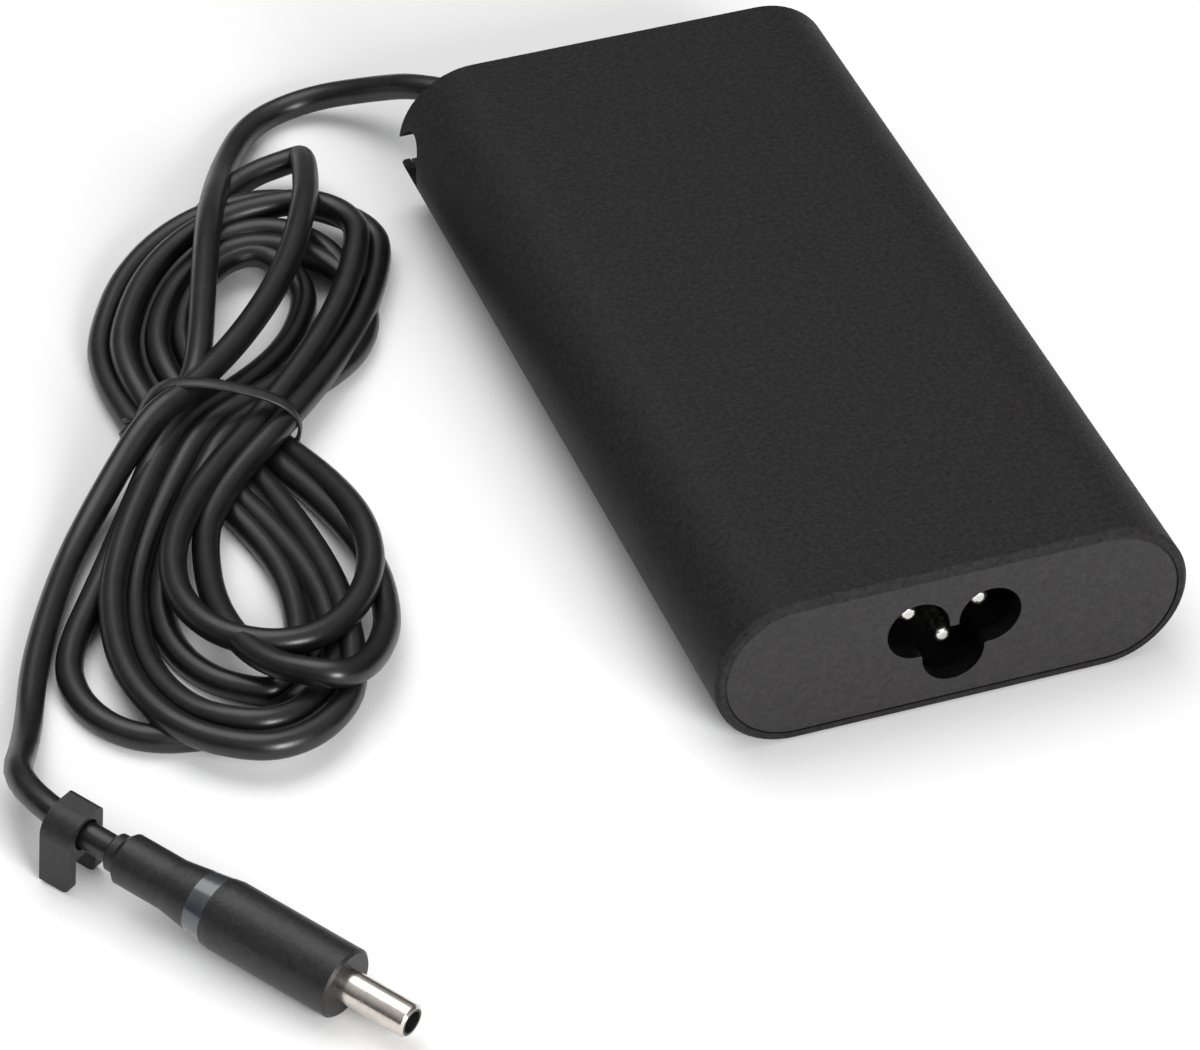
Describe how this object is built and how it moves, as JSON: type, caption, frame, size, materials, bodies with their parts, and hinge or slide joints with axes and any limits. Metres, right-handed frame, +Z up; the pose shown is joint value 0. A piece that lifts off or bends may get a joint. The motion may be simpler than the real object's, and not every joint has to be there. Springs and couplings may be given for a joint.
{
  "type": "laptop power adapter",
  "caption": "Slim stadium-section power brick with a recessed clover mains inlet, a wound and tied output cord, a sliding cord clip and a straight barrel plug.",
  "frame": {"origin": "middle of the brick's underside", "axes": "+Z up, +Y from the inlet end to the cord end, +X to the right seen from the inlet end"},
  "size_m": [0.156, 0.1976, 0.0226],
  "materials": {
    "case_shell": "fine moulded grain, satin black",
    "end_cap": "smooth satin black",
    "inlet_socket": "glossy black",
    "pin_metal": "nickel plate",
    "board": "green solder mask",
    "insulation": "fibre sheet",
    "heatsink_metal": "mill finish",
    "film_capacitor": "yellow box",
    "component_body": "moulded epoxy",
    "copper_winding": "enamelled copper wire",
    "disc_capacitor": "dipped lacquer",
    "can_capacitor": "dark sleeve",
    "ferrite": "sintered ferrite",
    "winding_tape": "polyester tape",
    "cord_jacket": "soft satin black",
    "tie_strip": "black plastic strip over wire",
    "clip_plastic": "satin black",
    "plug_body": "satin black",
    "light_ring": "frosted blue-grey, unlit",
    "barrel_metal": "nickel plate",
    "liner_plastic": "black"
  },
  "bodies": {
    "adapter": {"sleeve": "case_shell", "inlet_cap": "end_cap", "rear_cap": "end_cap", "inlet_insulator": "inlet_socket", "line_pin": "pin_metal", "neutral_pin": "pin_metal", "earth_pin": "pin_metal", "circuit_board": "board", "insulation_sheet": "insulation", "heat_spreader": "heatsink_metal", "x_capacitor": "film_capacitor", "bridge_rectifier": "component_body", "switching_transistor": "component_body", "controller_chip": "component_body", "output_rectifier": "component_body", "optocoupler": "component_body", "input_fuse": "component_body", "common_mode_choke": "copper_winding", "y_capacitor": "disc_capacitor", "bulk_capacitor": "can_capacitor", "primary_heatsink": "heatsink_metal", "secondary_heatsink": "heatsink_metal", "transformer_core": "ferrite", "transformer_winding": "winding_tape", "output_capacitors": "can_capacitor", "output_choke": "copper_winding", "strain_relief": "cord_jacket", "output_leads": "cord_jacket", "cord_lead": "cord_jacket", "cord_tail": "cord_jacket", "twist_tie": "tie_strip", "cord_hank": "cord_jacket", "plug_housing": "plug_body", "plug_light_ring": "light_ring", "plug_barrel": "barrel_metal", "barrel_liner": "liner_plastic", "centre_pin": "pin_metal"},
    "clip": {"cord_clip": "clip_plastic"}
  },
  "joints": [
    {"name": "clip_slide", "type": "slide", "parent": "adapter", "child": "clip", "axis": [0.5677, -0.8188, -0.086], "range_m": [0, 0.0043]}
  ]
}
